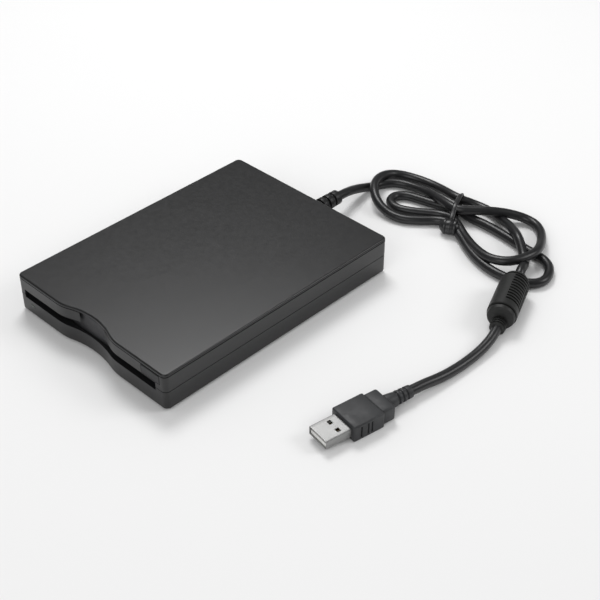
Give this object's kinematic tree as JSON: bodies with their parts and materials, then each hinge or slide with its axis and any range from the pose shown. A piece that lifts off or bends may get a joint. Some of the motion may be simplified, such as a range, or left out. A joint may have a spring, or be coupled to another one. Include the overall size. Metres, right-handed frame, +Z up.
{
  "type": "external floppy disk drive",
  "caption": "Slim black external floppy disk drive with a finger scallop over the disk slot, an eject button, and a tied USB cord with a ferrite bead and plug.",
  "frame": {"origin": "on the table, at the middle of the drive's outline", "axes": "+X to the right seen from the front, +Y from the front face to the back, +Z up"},
  "size_m": [0.179, 0.227, 0.0205],
  "materials": {
    "black_casing": "semi-gloss, fine texture",
    "black_plastic": "matt moulded",
    "foot_rubber": "matt",
    "screw_steel": "zinc plated",
    "door_plastic": "satin",
    "spring_steel": "drawn wire",
    "frame_steel": "galvanised sheet",
    "turned_steel": "ground",
    "board_green": "solder mask",
    "copper_wire": "enamelled winding",
    "bearing_bronze": "sintered",
    "magnet_black": "bonded ferrite",
    "head_ceramic": "polished",
    "clear_plastic": "translucent",
    "chip_black": "epoxy",
    "connector_white": "nylon",
    "ribbon_white": "flat flexible",
    "cord_black": "PVC sheath",
    "ferrite": "sintered ferrite",
    "moulding_grey": "moulded PVC",
    "plug_nickel": "satin nickel",
    "tongue_white": "moulded",
    "contact_gold": "gold flash"
  },
  "bodies": {
    "case": {"lower_shell": "black_casing", "upper_shell": "black_casing", "rubber_feet": "foot_rubber", "case_screws": "screw_steel", "door_pin": "turned_steel", "chassis": "frame_steel", "lever_post": "turned_steel", "lever_spring": "spring_steel", "motor_board": "board_green", "stator_coils": "copper_wire", "spindle_bearing": "bearing_bronze", "guide_rod": "turned_steel", "rod_clamps": "frame_steel", "stepper_bracket": "frame_steel", "stepper_motor": "frame_steel", "front_board": "board_green", "light_pipe": "clear_plastic", "switch_cases": "chip_black", "control_board": "board_green", "bridge_board": "board_green", "board_chips": "chip_black", "board_connectors": "connector_white", "drive_ribbon": "ribbon_white", "inner_screws": "screw_steel", "strain_relief": "moulding_grey", "inner_lead": "cord_black", "cord_to_hank": "cord_black", "cord_hank": "cord_black", "hank_tie": "moulding_grey", "bead_cover": "moulding_grey", "bead_core": "ferrite", "cord_in_bead": "cord_black", "cord_to_plug": "cord_black", "plug_shell": "plug_nickel", "plug_tongue": "tongue_white", "plug_contacts": "contact_gold", "plug_moulding": "moulding_grey"},
    "slide": {"slide_plate": "frame_steel", "eject_button": "black_plastic", "slide_springs": "spring_steel"},
    "holder": {"disk_holder": "frame_steel", "holder_pins": "turned_steel", "pressure_springs": "spring_steel"},
    "lever": {"latch_lever": "frame_steel"},
    "door": {"dust_door": "door_plastic", "door_spring": "spring_steel"},
    "rotor": {"rotor_yoke": "frame_steel", "rotor_magnet": "magnet_black", "spindle_shaft": "turned_steel", "drive_pin": "turned_steel"},
    "screw": {"lead_screw": "turned_steel"},
    "carriage": {"head_carriage": "black_plastic", "lower_head": "head_ceramic", "arm_pin": "turned_steel", "arm_spring": "spring_steel"},
    "head_arm": {"upper_head_arm": "black_plastic", "upper_head": "head_ceramic"},
    "write_protect_switch": {"write_protect_plunger": "connector_white"},
    "disk_switch": {"disk_in_plunger": "connector_white"}
  },
  "joints": [
    {"name": "eject_slide", "type": "slide", "parent": "case", "child": "slide", "axis": [0, 1, 0], "range_m": [-0.0045, 0]},
    {"name": "holder_lift", "type": "slide", "parent": "case", "child": "holder", "axis": [0, 0, 1], "range_m": [-0.0019, 0]},
    {"name": "lever_turn", "type": "hinge", "parent": "case", "child": "lever", "pos_m": [-0.042, 0.036, 0.0149], "axis": [0, 0, 1], "range_deg": [0, 48], "stiffness_Nm_per_rad": 0.004},
    {"name": "door_turn", "type": "hinge", "parent": "case", "child": "door", "pos_m": [-0.001, -0.06555, 0.0179], "axis": [1, 0, 0], "range_deg": [0, 70], "stiffness_Nm_per_rad": 0.002},
    {"name": "spindle_turn", "type": "hinge", "parent": "case", "child": "rotor", "pos_m": [-0.001, -0.0155, 0.007], "axis": [0, 0, 1], "continuous": true},
    {"name": "carriage_travel", "type": "slide", "parent": "case", "child": "carriage", "axis": [0, 1, 0], "range_m": [-0.01475, 0]},
    {"name": "lead_screw_turn", "type": "hinge", "parent": "case", "child": "screw", "pos_m": [-0.016, 0.04, 0.011], "axis": [0, 1, 0], "range_deg": [0, 1770.5]},
    {"name": "head_arm_lift", "type": "hinge", "parent": "carriage", "child": "head_arm", "pos_m": [-0.001, 0.0525, 0.0128], "axis": [1, 0, 0], "range_deg": [0, 9.9]},
    {"name": "write_protect_press", "type": "slide", "parent": "case", "child": "write_protect_switch", "axis": [0, 0, 1], "range_m": [-0.001, 0], "stiffness_N_per_m": 80},
    {"name": "disk_switch_press", "type": "slide", "parent": "case", "child": "disk_switch", "axis": [0, 0, 1], "range_m": [-0.001, 0], "stiffness_N_per_m": 80}
  ],
  "couplings": [
    {"joint": "holder_lift", "follows": "eject_slide", "ratio": 0.4222},
    {"joint": "head_arm_lift", "follows": "eject_slide", "rad_per_m": -38.387},
    {"joint": "lead_screw_turn", "follows": "carriage_travel", "rad_per_m": -2094.4}
  ]
}
